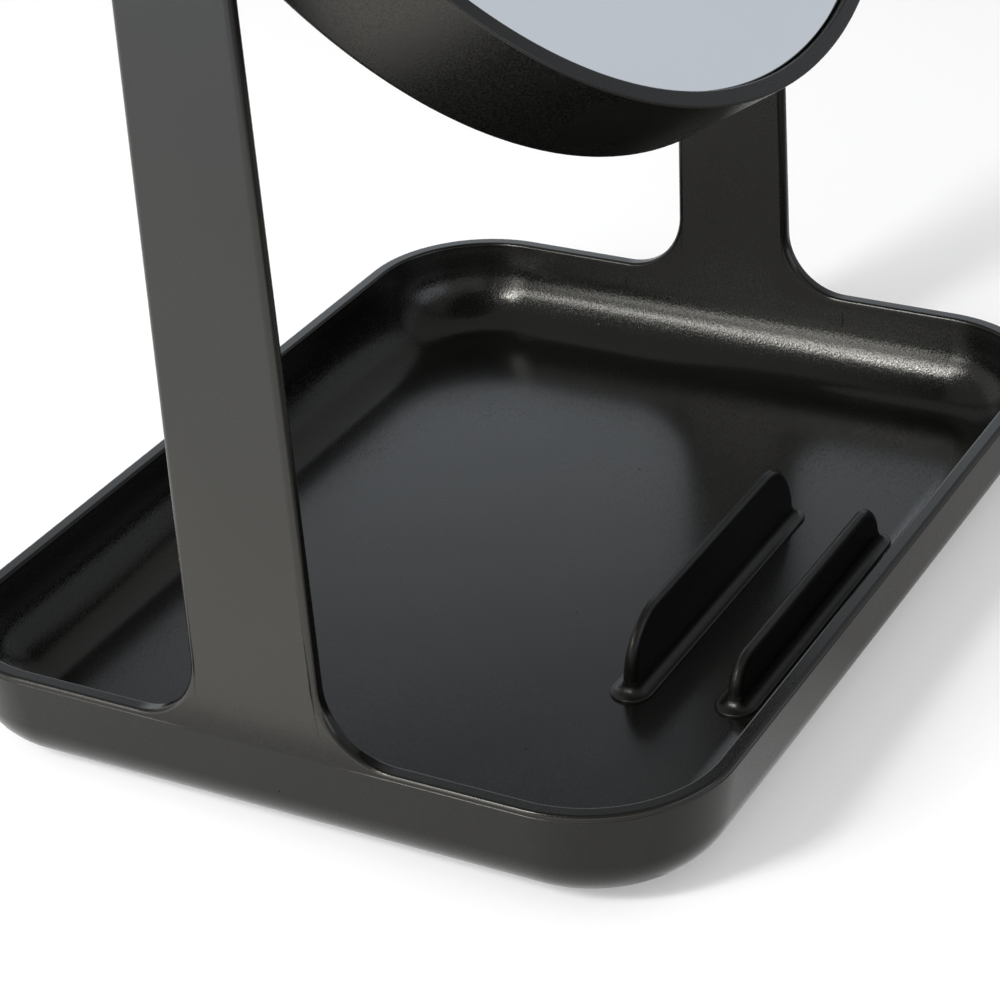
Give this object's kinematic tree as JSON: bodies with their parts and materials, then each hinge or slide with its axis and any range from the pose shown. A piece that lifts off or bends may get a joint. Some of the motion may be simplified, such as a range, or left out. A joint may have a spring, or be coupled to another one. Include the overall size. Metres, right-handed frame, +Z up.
{
  "type": "table-top vanity mirror on a tray base",
  "caption": "Round table-top mirror that tilts between the uprights of a shallow moulded tray, which has two fins on its floor to hold a phone upright.",
  "frame": {"origin": "on the surface that the object stands on, under the middle of the tray", "axes": "+Z up, +X to the right along the mirror's pivot axis, -Y towards the user"},
  "size_m": [0.2058, 0.148, 0.2664],
  "materials": {
    "tray_plastic": "black, satin gloss with a fine spark-eroded grain",
    "frame_plastic": "black, satin gloss with a fine spark-eroded grain",
    "cover_plastic": "black, satin gloss with a fine spark-eroded grain",
    "cap_plastic": "black, satin gloss",
    "mirror_glass": "silvered float glass",
    "foam_tape": "white foam mounting tape",
    "foot_rubber": "dark grey soft rubber",
    "bush_nylon": "black nylon, as moulded",
    "insert_brass": "turned brass",
    "pivot_steel": "zinc-plated steel"
  },
  "bodies": {
    "base": {"tray_base": "tray_plastic", "foot_front_left": "foot_rubber", "foot_front_right": "foot_rubber", "foot_rear_left": "foot_rubber", "foot_rear_right": "foot_rubber", "pivot_bush_left": "bush_nylon", "pivot_bush_right": "bush_nylon"},
    "mirror": {"mirror_frame": "frame_plastic", "back_cover": "cover_plastic", "mirror_glass": "mirror_glass", "glass_tape_ring": "foam_tape", "glass_tape_pad": "foam_tape", "pivot_insert_left": "insert_brass", "pivot_screw_left": "pivot_steel", "spring_washer_left": "pivot_steel", "flat_washer_left": "pivot_steel", "screw_cap_left": "cap_plastic", "pivot_insert_right": "insert_brass", "pivot_screw_right": "pivot_steel", "spring_washer_right": "pivot_steel", "flat_washer_right": "pivot_steel", "screw_cap_right": "cap_plastic"}
  },
  "joints": [
    {"name": "mirror_tilt", "type": "hinge", "parent": "base", "child": "mirror", "pos_m": [0, 0, 0.183], "axis": [1, 0, 0], "continuous": true}
  ]
}
